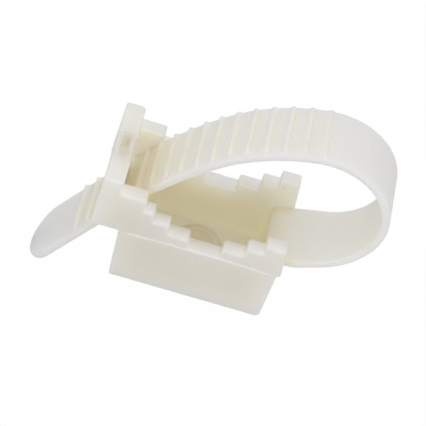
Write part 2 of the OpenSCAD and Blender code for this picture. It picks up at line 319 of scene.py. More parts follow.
class HolderLayout:
    """Places that follow from the sizes, in millimetres: the saddle in side view and the strap's path."""

    def __init__(self, scene):
        self.saddle = measures(scene.holder_saddle)
        self.strap = measures(scene.holder_strap)
        self.teeth = measures(scene.holder_teeth)
        self.flash = measures(scene.holder_flash)
        self.place_saddle()
        self.place_path()
        self.place_teeth()

    def place_saddle(self):
        """Heights of the treads, distances of the steps, and the bridge."""
        s = self.saddle
        self.parting = s.box_height
        self.box_end = s.box_length / 2
        self.half_width = s.slot / 2 + s.wall
        lowest = self.parting + s.tread_low
        self.tread_z = [lowest + i * s.step_rise for i in range(4)]
        self.tread_z.append(self.tread_z[3] + s.last_rise)
        self.step_x = [s.tread_half]
        for tread in (s.tread_second, s.tread_third, s.tread_fourth):
            self.step_x.append(self.step_x[-1] + tread)
        self.bridge_top = self.tread_z[4] + s.bridge_rise
        self.bridge_low = self.bridge_top - s.bridge_depth
        self.foot_out = -self.box_end - s.reach_out
        self.foot_root = self.box_end + s.reach_root
        self.bridge_out = self.foot_out + (self.bridge_top - self.parting) * math.tan(s.lean_out)
        self.bridge_in = self.bridge_out + s.bridge_width
        self.cheek_end = self.foot_root - (self.tread_z[3] - self.parting) * math.tan(s.lean_root)
        self.window_out = self.bridge_out + (s.bridge_width - s.window_width) / 2
        self.window_in = self.window_out + s.window_width

    def box_half(self, z):
        """Half length of the box's outside at a height, which the draft narrows downwards."""
        return self.box_end - (self.parting - z) * math.tan(self.saddle.box_draft)

    def place_path(self):
        """The strap's outer line: straight root, round loop, flatter shoulder, slight ease, straight tail."""
        t = self.strap
        self.half_strap = self.saddle.slot / 2 - t.play
        self.tail_h = math.pi + t.tail_slope
        self.ease_h = self.tail_h - t.ease_turn
        self.shoulder_h = self.ease_h - t.shoulder_turn
        low = self.parting - t.root_drop
        self.root_start = Vector((self.box_half(low), low))
        loop_start = self.root_start + t.root_length * ahead(t.root_rise)
        self.loop_c = loop_start - t.loop_radius * right(t.root_rise)
        edge = Vector((-self.box_end, self.parting)) + (t.gap + t.thickness) * right(self.tail_h)
        reach = (edge - self.loop_c).dot(right(self.tail_h))
        sag = t.ease_radius * (1 - math.cos(t.ease_turn))
        far = t.ease_turn + t.shoulder_turn
        spare = math.cos(t.ease_turn) - math.cos(far)
        self.shoulder_r = (reach - t.loop_radius * math.cos(far) - sag) / spare
        self.shoulder_c = self.loop_c + (t.loop_radius - self.shoulder_r) * right(self.shoulder_h)
        self.ease_c = self.shoulder_c + (self.shoulder_r - t.ease_radius) * right(self.ease_h)
        self.tail_start = self.ease_c + t.ease_radius * right(self.tail_h)
        self.shoulder_from = t.root_length + t.loop_radius * (self.shoulder_h - t.root_rise)
        self.ease_from = self.shoulder_from + self.shoulder_r * t.shoulder_turn
        self.tail_from = self.ease_from + t.ease_radius * t.ease_turn
        # The root's upper side runs straight from the end wall's inner edge to the start of the loop
        inner = Vector((self.box_end - self.saddle.wall, self.parting)) - self.root_start
        self.root_from = inner.dot(ahead(t.root_rise))
        self.root_extra = -inner.dot(right(t.root_rise)) - t.thickness
        # Length at which the strap leaves the cheeks
        self.leaves = (self.foot_root - self.root_start.x) / math.cos(t.root_rise)

    def place_teeth(self):
        """Lengths along the strap to the pawl, to the teeth's tips and to the round end."""
        t = self.teeth
        point_x = self.window_in + self.saddle.pawl_in
        self.pawl_s = self.tail_from + (point_x - self.tail_start.x) / math.cos(self.tail_h)
        held = self.pawl_s + self.saddle.pawl_gap + t.lock
        self.tips = [held + i * t.pitch for i in range(-t.on_loop, t.on_tail + 1)]
        self.strap_end = self.tips[-1] + t.ramp + self.strap.tail_length
        self.round_from = self.strap_end - self.half_strap

    def on_strap(self, s):
        """Point and heading of the strap's outer line at a length from its root."""
        t = self.strap
        if s < t.root_length:
            return self.root_start + s * ahead(t.root_rise), t.root_rise
        if s > self.tail_from:
            return self.tail_start + (s - self.tail_from) * ahead(self.tail_h), self.tail_h
        for centre, radius, heading, start, end in (
                (self.loop_c, t.loop_radius, t.root_rise, t.root_length, self.shoulder_from),
                (self.shoulder_c, self.shoulder_r, self.shoulder_h, self.shoulder_from, self.ease_from),
                (self.ease_c, t.ease_radius, self.ease_h, self.ease_from, self.tail_from)):
            if s <= end:
                turned = heading + (s - start) / radius
                return centre + radius * right(turned), turned

    def strap_half(self, s):
        """Half width of the strap at a length from its root, where it fills the slot."""
        left = min(1.0, max(0.0, 1 - s / self.strap.root_fade))
        return self.half_strap + self.strap.root_spread * left * left * (3 - 2 * left)

    def strap_nip(self, s):
        """Depth of the notch in the strap's near edge, deepest where the strap leaves the cheeks."""
        t = self.strap
        past = (s - self.leaves) / t.nip_length
        left = max(0.0, 1 - past if past > 0 else 1 + NIP_STEEPNESS * past)
        return t.nip * left * left

    def strap_depth(self, s):
        """Thickness of the strap at a length from its root, where it is thickest."""
        t = self.strap
        run = max(0.0, t.root_length - s) / (t.root_length - self.root_from)
        return t.thickness + self.root_extra * run


def rounded_outline(corners, steps=6):
    """Closed outline through corners (x, z, radius), each rounded by an arc."""
    outline = []
    for i, (x, z, radius) in enumerate(corners):
        corner = Vector((x, z))
        to_last = (Vector(corners[i - 1][:2]) - corner).normalized()
        to_next = (Vector(corners[(i + 1) % len(corners)][:2]) - corner).normalized()
        if radius <= 0:
            outline.append(corner)
            continue
        half = to_last.angle(to_next) / 2
        middle = corner + (to_last + to_next).normalized() * radius / math.sin(half)
        start = corner + to_last * radius / math.tan(half) - middle
        sweep = (math.pi - 2 * half) * (-1 if to_last.x * to_next.y > to_last.y * to_next.x else 1)
        for step in range(steps + 1):
            angle = sweep * step / steps
            cos, sin = math.cos(angle), math.sin(angle)
            outline.append(middle + Vector((start.x * cos - start.y * sin, start.x * sin + start.y * cos)))
    return outline


def new_object(name, mesh):
    """A mesh object in the scene's own collection."""
    piece = bpy.data.objects.new(name, mesh)
    bpy.context.scene.collection.objects.link(piece)
    return piece


def mesh_from(name, bm):
    """A mesh from a finished bmesh, with its normals outwards."""
    bmesh.ops.recalc_face_normals(bm, faces=bm.faces)
    mesh = bpy.data.meshes.new(name)
    bm.to_mesh(mesh)
    bm.free()
    return mesh


def prism(name, outline, low, high):
    """A solid with an outline in XZ, from one Y to another."""
    bm = bmesh.new()
    ends = [[bm.verts.new((p.x, y, p.y)) for p in outline] for y in (low, high)]
    for end in ends:
        bm.faces.new(end)
    for i in range(len(outline)):
        bm.faces.new((ends[0][i - 1], ends[0][i], ends[1][i], ends[1][i - 1]))
    return new_object(name, mesh_from(name, bm))


def post(name, diameter, low, high, facets=72):
    """An upright cylinder on the fixing hole's axis."""
    bm = bmesh.new()
    bmesh.ops.create_cone(
        bm, cap_ends=True, segments=facets, radius1=diameter / 2, radius2=diameter / 2, depth=high - low)
    bmesh.ops.translate(bm, verts=bm.verts, vec=(0, 0, (low + high) / 2))
    return new_object(name, mesh_from(name, bm))


def settle(piece):
    """Replaces a piece's mesh by the one that its modifiers give."""
    graph = bpy.context.evaluated_depsgraph_get()
    mesh = bpy.data.meshes.new_from_object(piece.evaluated_get(graph))
    old = piece.data
    piece.modifiers.clear()
    piece.data = mesh
    mesh.name = piece.name
    bpy.data.meshes.remove(old)


def carve(piece, tools, operation):
    """Joins tools to a piece or cuts them from it, and deletes them."""
    for tool in tools:
        cut = piece.modifiers.new(tool.name, "BOOLEAN")
        cut.solver = "MANIFOLD"
        cut.operation = operation
        cut.material_mode = "TRANSFER"
        cut.object = tool
    settle(piece)
    if not piece.data.polygons:
        raise RuntimeError(f"{piece.name} has no faces left after {operation.lower()}")
    for tool in tools:
        mesh = tool.data
        bpy.data.objects.remove(tool)
        bpy.data.meshes.remove(mesh)


def coat(piece, finish):
    """Gives a whole piece one finish, by its name."""
    piece.data.materials.clear()
    piece.data.materials.append(bpy.data.materials[finish])


def plate_outline(layout):
    """Side view of a cheek and the box wall under it, as one outline."""
    s = layout.saddle
    corners = [
        (layout.foot_out, layout.parting, s.foot_corner),
        (-layout.box_end, layout.parting, s.under_foot),
        (-layout.box_half(0), 0, s.box_corner_out),
        (layout.box_half(0), 0, s.box_corner_root),
        (layout.box_half(layout.parting - s.flare), layout.parting - s.flare, s.under_root),
        (layout.foot_root, layout.parting + s.flare / 3, s.step_edge),
        (layout.cheek_end, layout.tread_z[3], s.step_edge),
    ]
    for i in (2, 1, 0):
        x = s.cradle + layout.step_x[i]
        corners += [(x, layout.tread_z[i + 1], s.step_edge), (x, layout.tread_z[i], s.step_hollow)]
    for i in range(4):
        x = s.cradle - layout.step_x[i]
        corners += [(x, layout.tread_z[i], s.step_hollow), (x, layout.tread_z[i + 1], s.step_edge)]
    corners += [
        (layout.bridge_in, layout.tread_z[4], s.step_hollow),
        (layout.bridge_in, layout.bridge_top, s.bridge_edge),
        (layout.bridge_out, layout.bridge_top, s.step_edge),
    ]
    return rounded_outline(corners)


def trough_outline(layout):
    """Side view of the floor and the end walls between the cheeks."""
    s = layout.saddle
    return rounded_outline([
        (-layout.box_half(0), 0, s.box_corner_out),
        (layout.box_half(0), 0, s.box_corner_root),
        (layout.box_end, layout.parting, s.rim_inside),
        (layout.box_end - s.wall, layout.parting, s.rim_fine),
        (layout.box_half(s.floor) - s.wall, s.floor, s.step_hollow),
        (-layout.box_half(s.floor) + s.wall, s.floor, s.step_hollow),
        (-layout.box_end + s.wall, layout.parting, s.rim_inside),
        (-layout.box_end, layout.parting, s.rim_inside),
    ])


def bridge_outline(layout):
    """Side view of the bridge between the cheeks."""
    s = layout.saddle
    return rounded_outline([
        (layout.bridge_out - s.bridge_depth * math.tan(s.lean_out), layout.bridge_low, s.step_edge),
        (layout.bridge_in, layout.bridge_low, s.step_edge),
        (layout.bridge_in, layout.bridge_top, s.bridge_edge),
        (layout.bridge_out, layout.bridge_top, s.step_edge),
    ])


def pawl_outline(layout):
    """Side view of the tongue that hangs from the bridge, with its nose between two teeth."""
    s = layout.saddle
    out = right(layout.tail_h)
    point = layout.on_strap(layout.pawl_s)[0] + s.pawl_gap * out
    knee = point.y + s.bridge_width
    top = layout.bridge_low + s.bridge_depth / 2
    tongue_in = layout.bridge_in - s.step_edge / 2
    return [
        Vector((layout.window_in, top)),
        Vector((layout.window_in, knee)),
        point + layout.teeth.height * out,
        point,
        point - s.pawl_nose * ahead(layout.tail_h),
        Vector((tongue_in, knee)),
        Vector((tongue_in, top)),
    ]


def rim_radius(layout, edge):
    """Rounding that an edge of the saddle gets, from where it lies."""
    s = layout.saddle
    middle = (edge.verts[0].co + edge.verts[1].co) / 2
    across = abs(middle.y)
    if math.hypot(middle.x, middle.y) < s.hole / 2 + 2 * s.collar and middle.z < layout.parting / 2:
        return s.rim_fine
    if across < s.window_length / 2 + s.rim_fine and middle.x < layout.bridge_in + s.pawl_nose:
        return s.rim_fine
    if across > layout.half_width - s.rim_inside:
        return s.rim_outside
    return s.rim_inside


def round_rims(piece, layout, sharp=math.radians(40), flat=math.radians(0.5), merge=0.002):
    """Rounds the convex rims of the saddle, each by its own radius."""
    widest = layout.saddle.rim_outside
    bm = bmesh.new()
    bm.from_mesh(piece.data)
    bmesh.ops.remove_doubles(bm, verts=bm.verts, dist=merge)
    bmesh.ops.dissolve_limit(
        bm, angle_limit=flat, use_dissolve_boundaries=False, verts=bm.verts, edges=bm.edges)
    weight = bm.edges.layers.float.new("bevel_weight_edge")
    for edge in bm.edges:
        if edge.is_manifold and edge.is_convex and edge.calc_face_angle() > sharp:
            edge[weight] = rim_radius(layout, edge) / widest
    bm.to_mesh(piece.data)
    bm.free()
    rims = piece.modifiers.new("rims", "BEVEL")
    rims.limit_method = "WEIGHT"
    rims.width = widest
    rims.segments = 3
    rims.use_clamp_overlap = False
    rims.miter_outer = "MITER_ARC"
    settle(piece)
    split_faces(piece)


def split_faces(piece, step=1.37):
    """Cuts the wide faces of a piece into small ones, so that shading runs evenly over them."""
    bm = bmesh.new()
    bm.from_mesh(piece.data)
    for axis in range(3):
        places = [v.co[axis] for v in bm.verts]
        low, high = min(places), max(places)
        normal = Vector((0, 0, 0))
        normal[axis] = 1.0
        for i in range(1, math.ceil((high - low) / step)):
            bmesh.ops.bisect_plane(
                bm, geom=bm.verts[:] + bm.edges[:] + bm.faces[:], dist=0.001,
                plane_co=normal * (low + i * step), plane_no=normal)
    bm.to_mesh(piece.data)
    bm.free()


def tooth_run(teeth):
    """Side view of one tooth as (distance along the strap, height), with its tip and feet rounded."""
    margin = 2 * teeth.foot
    corners = [
        (-teeth.lock - margin, 0, 0),
        (-teeth.lock, 0, teeth.foot),
        (0, teeth.height, teeth.tip),
        (teeth.ramp, 0, teeth.foot),
        (teeth.ramp + margin, 0, 0),
    ]
    return [(p.x, max(0.0, p.y)) for p in rounded_outline(corners, steps=4)]


def strap_stations(layout, bend_step=0.55):
    """Places along the strap as (length from its root, height of the tooth there)."""
    stations = [(tip + along, high) for tip in layout.tips for along, high in tooth_run(layout.teeth)]
    starts = [layout.root_from] + [tip + layout.teeth.ramp for tip in layout.tips]
    ends = [tip - layout.teeth.lock for tip in layout.tips] + [layout.round_from]
    for start, end in zip(starts, ends):
        plain = [start + layout.teeth.foot * 3, end - layout.teeth.foot * 3]
        parts = max(1, math.ceil((plain[1] - plain[0]) / bend_step))
        stations += [(plain[0] + (plain[1] - plain[0]) * i / parts, 0.0) for i in range(parts + 1)]
    stations += [(layout.root_from, 0.0), (layout.round_from, 0.0)]
    stations += [(layout.leaves + layout.strap.nip_length * i / 10, 0.0) for i in range(-2, 3)]
    return sorted(stations)


def edge_points(half, depth, strap, steps=4):
    """Side edge of the strap's section as (across, below the outer face), from the outer face inwards."""
    arc = [math.pi / 2 * i / steps for i in range(steps + 1)]
    outer, inner = strap.edge_outer, strap.edge_inner
    points = [(half - outer * (1 - math.sin(a)), outer * (1 - math.cos(a))) for a in arc]
    points += [(half - inner * (1 - math.cos(a)), depth - inner * (1 - math.sin(a))) for a in arc]
    return points


def tooth_share(from_edge, lip, slope):
    """Share of a tooth's height at a distance from the strap's edge, where its end slopes away."""
    part = min(1.0, max(0.0, (from_edge - lip) / slope))
    return part * part * (3 - 2 * part)


def half_section(layout, s, high, lip, slope, nip=0.0):
    """Half of the strap's section as (across, outwards), from the outer face's middle to the inner one's."""
    half, strap = layout.strap_half(s) - nip, layout.strap
    edge = edge_points(half, layout.strap_depth(s), strap)
    rounding = len(edge) // 2
    outer = [(half * part, 0.0) for part in reversed(ACROSS)]
    outer += [(half - strap.edge_outer - line, 0.0) for line in reversed(TOOTH_LINES)]
    outer += [(y, -below) for y, below in edge[:rounding]]
    outer = [(y, n + high * tooth_share(half - y, lip, slope)) for y, n in outer]
    inner = [(y, -below) for y, below in edge[rounding:]]
    return outer + inner + [(half * part, inner[-1][1]) for part in ACROSS]


def strap_section(layout, s, high):
    """Points across the strap at one station, closed round its four sides."""
    teeth = layout.teeth
    origin, heading = layout.on_strap(s)
    far = half_section(layout, s, high, teeth.far_lip, teeth.far_slope)
    near = half_section(layout, s, high, teeth.near_lip, teeth.near_slope, layout.strap_nip(s))
    points = []
    for y, n in far + [(-y, n) for y, n in reversed(near[1:-1])]:
        at = origin + right(heading) * n
        points.append(Vector((at.x, y, at.y)))
    return points


def strap_mesh(layout, facets=40):
    """The whole strap as one closed skin: root, loop, teeth and round tip."""
    bm = bmesh.new()
    rings = []
    for s, high in strap_stations(layout):
        rings.append([bm.verts.new(p) for p in strap_section(layout, s, high)])
    count = len(rings[0])
    for near, far in zip(rings, rings[1:]):
        for i in range(count):
            bm.faces.new((near[i - 1], near[i], far[i], far[i - 1]))
    bm.faces.new(rings[0])
    # The round tip turns the side edge's points about the middle of the last station
    last = rings[-1]
    outer = len(TOOTH_LINES) + len(ACROSS)
    edge = edge_points(layout.half_strap, layout.strap.thickness, layout.strap)
    middle, heading = layout.on_strap(layout.round_from)
    out, along = right(heading), ahead(heading)
    mirror = count - outer + 1
    fans = [last[outer:outer + len(edge)]]
    for i in range(1, facets):
        angle = math.pi * i / facets
        fan = []
        for y, below in edge:
            at = middle + along * (y * math.sin(angle)) - out * below
            fan.append(bm.verts.new((at.x, y * math.cos(angle), at.y)))
        fans.append(fan)
    fans.append([last[mirror - 1 - k] for k in range(len(edge))])
    for near, far in zip(fans, fans[1:]):
        for k in range(len(edge) - 1):
            bm.faces.new((near[k], near[k + 1], far[k + 1], far[k]))
    start = outer + len(edge)
    bm.faces.new([fan[-1] for fan in fans] + [last[i] for i in range(start, mirror - len(edge))][::-1])
    top = last[mirror:] + last[:outer]
    bm.faces.new([fan[0] for fan in fans] + top)
    return mesh_from("toothed_strap", bm)


def waver_at(x, side, size, wander=(1, 0, 1.0)):
    """A slow, fixed wander along X, for edges that the mould leaves uneven."""
    pace, shift, part = wander
    at = pace * x + shift + side
    return size * part * sum(weight * math.sin(rate * at + start) for rate, start, weight in WAVES)


def flash_mesh(layout, step=0.35, sides=10, taper_share=0.125, end_share=0.05):
    """The flash along both sides of the box, a thin ridge with tapering ends."""
    bm = bmesh.new()
    flash = layout.flash
    arc_r = (layout.box_end ** 2 + flash.rise ** 2) / (2 * flash.rise)
    centre_z = layout.parting + flash.rise - arc_r
    count = round(2 * layout.box_end / step)
    for side in (-1, 1):
        rings = []
        for i in range(count + 1):
            x = layout.box_end * (2 * i / count - 1)
            z = centre_z + math.sqrt(arc_r ** 2 - x ** 2) + waver_at(x, side, flash.waver)
            taper = min(1.0, min(i, count - i) / count / taper_share + end_share)
            tall = taper * (flash.height + waver_at(x, side, flash.waver, TALL_WANDER)) / 2
            deep = taper * (flash.proud + waver_at(x, side, flash.waver, DEEP_WANDER))
            ring = []
            for k in range(sides):
                angle = 2 * math.pi * k / sides
                y = side * (layout.half_width + deep * math.cos(angle) - flash.proud * FLASH_SUNK)
                ring.append(bm.verts.new((x, y, z + tall * math.sin(angle))))
            rings.append(ring)
        for near, far in zip(rings, rings[1:]):
            for k in range(sides):
                bm.faces.new((near[k - 1], near[k], far[k], far[k - 1]))
        bm.faces.new(rings[0])
        bm.faces.new(rings[-1])
    return mesh_from("parting_flash", bm)


def rgba(colour):
    """A colour of three values as one of four."""
    return (*colour, 1.0)


def link(tree, source, target):
    """Joins an output socket to an input socket."""
    tree.links.new(source, target)


def new_group(name, inputs, outputs):
    """An empty shader node group with its sockets, given as (name, type, default)."""
    group = bpy.data.node_groups.new(name, "ShaderNodeTree")
    for socket, kind, default in inputs:
        made = group.interface.new_socket(socket, in_out="INPUT", socket_type=kind)
        if default is not None:
            made.default_value = default
    for socket, kind in outputs:
        group.interface.new_socket(socket, in_out="OUTPUT", socket_type=kind)
    return group, group.nodes.new("NodeGroupInput"), group.nodes.new("NodeGroupOutput")


def add_node(tree, kind, **values):
    """A node with its own settings, and its unlinked inputs by name."""
    node = tree.nodes.new(kind)
    for key, value in values.items():
        if hasattr(node, key):
            setattr(node, key, value)
        else:
            node.inputs[key].default_value = value
    return node


def use_group(tree, name, **values):
    """A node that holds one of the node groups, with its unlinked inputs by name."""
    return add_node(tree, "ShaderNodeGroup", node_tree=bpy.data.node_groups[name], **values)


def moulded_grain_group():
    """Fine grain of the moulded surface: a height for bump and a roughness that varies with it."""
    group, given, made = new_group(
        "moulded_grain",
        (("Scale", "NodeSocketFloat", 3000.0), ("Roughness", "NodeSocketFloat", 0.42),
         ("Spread", "NodeSocketFloat", 0.08)),
        (("Height", "NodeSocketFloat"), ("Roughness", "NodeSocketFloat")))
    place = add_node(group, "ShaderNodeTexCoord")
    fine = add_node(group, "ShaderNodeTexNoise", Detail=3.0, Roughness=0.6)
    link(group, place.outputs["Object"], fine.inputs["Vector"])
    link(group, given.outputs["Scale"], fine.inputs["Scale"])
    slow = add_node(group, "ShaderNodeTexNoise", Scale=160.0, Detail=2.0)
    link(group, place.outputs["Object"], slow.inputs["Vector"])
    centred = add_node(group, "ShaderNodeMath", operation="SUBTRACT")
    link(group, slow.outputs["Fac"], centred.inputs[0])
    centred.inputs[1].default_value = 0.5
    spread = add_node(group, "ShaderNodeMath", operation="MULTIPLY_ADD")
    link(group, centred.outputs[0], spread.inputs[0])
    link(group, given.outputs["Spread"], spread.inputs[1])
    link(group, given.outputs["Roughness"], spread.inputs[2])
    link(group, fine.outputs["Fac"], made.inputs["Height"])
    link(group, spread.outputs[0], made.inputs["Roughness"])
    return group


def spread_over(group, source, ends):
    """A mask that goes from one to nought while a value goes from one end of a range to the other."""
    low, high = ends
    spread = add_node(
        group, "ShaderNodeMapRange", **{"From Min": low, "From Max": high, "To Min": 1.0, "To Max": 0.0})
    link(group, source, spread.inputs["Value"])
    return spread.outputs["Result"]


def blend(group, part, first, second, how="MIX"):
    """A colour that goes from the first to the second, or to their product, by a mask."""
    mix = add_node(group, "ShaderNodeMix", data_type="RGBA", blend_type=how)
    link(group, part, mix.inputs[0])
    link(group, first, mix.inputs[6])
    link(group, second, mix.inputs[7])
    return mix.outputs[2]


def combine(group, operation, first, second):
    """What a Math node makes of two values."""
    node = add_node(group, "ShaderNodeMath", operation=operation)
    link(group, first, node.inputs[0])
    link(group, second, node.inputs[1])
    return node.outputs[0]


def times(group, first, second):
    """The product of two values."""
    return combine(group, "MULTIPLY", first, second)


def minus(group, first, second):
    """The first value less the second."""
    return combine(group, "SUBTRACT", first, second)


def larger(group, first, second):
    """The larger of two values."""
    return combine(group, "MAXIMUM", first, second)


def axis_z(group, vector):
    """The upward part of a place or a direction."""
    parts = add_node(group, "ShaderNodeSeparateXYZ")
    link(group, vector, parts.inputs[0])
    return parts.outputs["Z"]


def rest(group, part):
    """What is left of one when a mask is taken from it."""
    node = add_node(group, "ShaderNodeMath", operation="SUBTRACT")
    node.inputs[0].default_value = 1.0
    link(group, part, node.inputs[1])
    return node.outputs[0]


def openness(group, distance, inside=False):
    """Share of the space near the surface that is open, or of the nylon behind it that is solid."""
    near = add_node(group, "ShaderNodeAmbientOcclusion", samples=16, only_local=True, inside=inside)
    link(group, distance, near.inputs["Distance"])
    return near.outputs["AO"]


def milky_tone_and_painted_light_group():
    """Colour of the milky nylon, with painted light and shade: a warm glow in hollows, fill light in half
    open places, shade on creases and half shut walls, cool light along thin edges.
    """
    colours = ("Milk", "Butter", "Honey", "Tan", "Pearl", "Amber")
    group, given, made = new_group(
        "milky_depth",
        (*((name, "NodeSocketColor", rgba(WHITE)) for name in colours),
         ("Hollow", "NodeSocketFloat", 0.01), ("Crease", "NodeSocketFloat", 0.001),
         ("Skin", "NodeSocketFloat", 0.002), ("Rim", "NodeSocketFloat", 0.01),
         ("Cloud", "NodeSocketFloat", 0.08), ("Dull", "NodeSocketFloat", 0.4)),
        (("Color", "NodeSocketColor"),))
    place = add_node(group, "ShaderNodeTexCoord")
    slow = add_node(group, "ShaderNodeTexNoise", Scale=260.0, Detail=3.0)
    link(group, place.outputs["Object"], slow.inputs["Vector"])
    cloud = times(group, slow.outputs["Fac"], given.outputs["Cloud"])
    sky = openness(group, given.outputs["Hollow"])
    # Creases beside steps get painted shade, and dull the painted glow of hollows
    crease = spread_over(group, openness(group, given.outputs["Crease"]), CREASE_RANGE)
    plain = rest(group, times(group, crease, given.outputs["Dull"]))
    # Half open places get painted fill light
    half_open = spread_over(group, times(group, sky, sky), HALF_OPEN_RANGE)
    # The pocket gets the painted warm glow all through, and other hollows only where they are deep and plain
    above = minus(group, axis_z(group, place.outputs["Object"]), given.outputs["Rim"])
    pocket = times(group, spread_over(group, above, RIM_RANGE), spread_over(group, sky, POCKET_RANGE))
    hollow = larger(group, times(group, spread_over(group, sky, HOLLOW_RANGE), plain), pocket)
    # Open thin edges get the painted cool tone of light passing through the nylon
    thin = spread_over(group, openness(group, given.outputs["Skin"], inside=True), THIN_RANGE)
    edge = times(group, thin, rest(group, spread_over(group, sky, OPEN_EDGE_RANGE)))
    # Painted shade: upright walls that are half shut in are made darker than the treads beside them
    rise = axis_z(group, place.outputs["Normal"])
    upright = rest(group, times(group, rise, rise))
    half_shut = times(
        group, spread_over(group, sky, HALF_SHUT_RANGE), rest(group, spread_over(group, sky, SHUT_RANGE)))
    milk = blend(group, cloud, given.outputs["Milk"], given.outputs["Honey"])
    edge_lit = blend(group, edge, milk, given.outputs["Pearl"])
    half_open_lit = blend(group, half_open, edge_lit, given.outputs["Butter"])
    hollow_glowed = blend(group, hollow, half_open_lit, given.outputs["Honey"])
    crease_shaded = blend(group, crease, hollow_glowed, given.outputs["Tan"], "MULTIPLY")
    wall_shaded = blend(group, times(group, upright, half_shut), crease_shaded, given.outputs["Amber"], "MULTIPLY")
    link(group, wall_shaded, made.inputs["Color"])
    return group


def specks_group():
    """Mask of the few dark specks that are moulded into the nylon."""
    group, given, made = new_group(
        "moulded_specks",
        (("Scale", "NodeSocketFloat", SADDLE_SPECKS), ("Strength", "NodeSocketFloat", 0.5)),
        (("Mask", "NodeSocketFloat"),))
    place = add_node(group, "ShaderNodeTexCoord")
    cells = add_node(group, "ShaderNodeTexVoronoi")
    link(group, place.outputs["Object"], cells.inputs["Vector"])
    link(group, given.outputs["Scale"], cells.inputs["Scale"])
    dots = spread_over(group, cells.outputs["Distance"], SPECK_RANGE)
    link(group, times(group, dots, given.outputs["Strength"]), made.inputs["Mask"])
    return group


def nylon_material(name, scene, colours, skin=1.0, specks_scale=SADDLE_SPECKS):
    """Satin, milky nylon in colours given by name, with painted light and shade by openness, moulded grain
    and specks.
    """
    look = scene.holder_look
    material = bpy.data.materials.new(name)
    material.use_nodes = True
    tree = material.node_tree
    shader = tree.nodes["Principled BSDF"]
    shader.inputs["IOR"].default_value = NYLON_IOR
    shader.inputs["Subsurface Weight"].default_value = BLEED_SHARE
    shader.inputs["Subsurface Radius"].default_value = BLEED_TINT
    shader.inputs["Subsurface Scale"].default_value = look.bleed
    # Base colour with painted light and shade from the openness round each point
    depth = use_group(
        tree, "milky_depth", Hollow=look.hollow, Crease=look.crease, Skin=look.skin * skin,
        Rim=scene.holder_saddle.box_height, **{socket: rgba(colour) for socket, colour in colours.items()})
    specks = use_group(tree, "moulded_specks", Scale=specks_scale)
    speckled = add_node(tree, "ShaderNodeMix", data_type="RGBA")
    link(tree, specks.outputs["Mask"], speckled.inputs[0])
    link(tree, depth.outputs["Color"], speckled.inputs[6])
    speckled.inputs[7].default_value = rgba(look.soot)
    link(tree, speckled.outputs[2], shader.inputs["Base Color"])
    grain = use_group(tree, "moulded_grain", Roughness=look.satin)
    link(tree, grain.outputs["Roughness"], shader.inputs["Roughness"])
    bump = add_node(tree, "ShaderNodeBump", Strength=0.12, Distance=0.00005)
    link(tree, grain.outputs["Height"], bump.inputs["Height"])
    link(tree, bump.outputs["Normal"], shader.inputs["Normal"])
    return material


def floor_material(studio):
    """Pale floor that looks white to the camera and keeps the object's shadow."""
    material = bpy.data.materials.new("studio_floor")
    material.use_nodes = True
    tree = material.node_tree
    tree.nodes.remove(tree.nodes["Principled BSDF"])
    matt = add_node(tree, "ShaderNodeBsdfDiffuse", Color=rgba(studio.floor_colour))
    white = add_node(tree, "ShaderNodeEmission", Strength=1.0)
    part = add_node(tree, "ShaderNodeMath", operation="MULTIPLY")
    link(tree, seen_rays(tree), part.inputs[0])
    part.inputs[1].default_value = FLOOR_WHITE
    mix = add_node(tree, "ShaderNodeMixShader")
    link(tree, part.outputs[0], mix.inputs[0])
    link(tree, matt.outputs[0], mix.inputs[1])
    link(tree, white.outputs[0], mix.inputs[2])
    link(tree, mix.outputs[0], tree.nodes["Material Output"].inputs["Surface"])
    return material


def seen_rays(tree):
    """A mask of the rays that show the background: camera, glossy and transmission rays."""
    path = add_node(tree, "ShaderNodeLightPath")
    direct = larger(tree, path.outputs["Is Camera Ray"], path.outputs["Is Glossy Ray"])
    return larger(tree, direct, path.outputs["Is Transmission Ray"])


class HOLDER_OT_finishes(bpy.types.Operator):
    """Make the node groups and the nylon finishes"""

    bl_idname = "holder.finishes"
    bl_label = "Nylon Finishes"

    def execute(self, context):
        scene = context.scene
        look = scene.holder_look
        moulded_grain_group()
        milky_tone_and_painted_light_group()
        specks_group()
        # The tones below are painted light and shade: glow in hollows, fill light, cool light on thin edges,
        # shade in creases and on walls
        nylon_material("saddle_nylon", scene, {
            "Milk": look.milk, "Butter": look.half_open_light, "Honey": look.honey_and_hollow_glow,
            "Pearl": look.thin_edge_light, "Tan": look.tan, "Amber": look.upright_wall_shade})
        nylon_material("strap_nylon", scene, {
            "Milk": look.milk, "Butter": look.strap_half_open_light, "Honey": look.wax_and_hollow_glow,
            "Pearl": look.strap_thin_edge_light, "Tan": look.tooth_foot_shade}, STRAP_SKIN, STRAP_SPECKS)
        nylon_material("flash_nylon", scene, {
            "Milk": look.frost, "Butter": look.frost, "Honey": look.frost,
            "Pearl": look.frost, "Tan": look.tan})
        return {"FINISHED"}


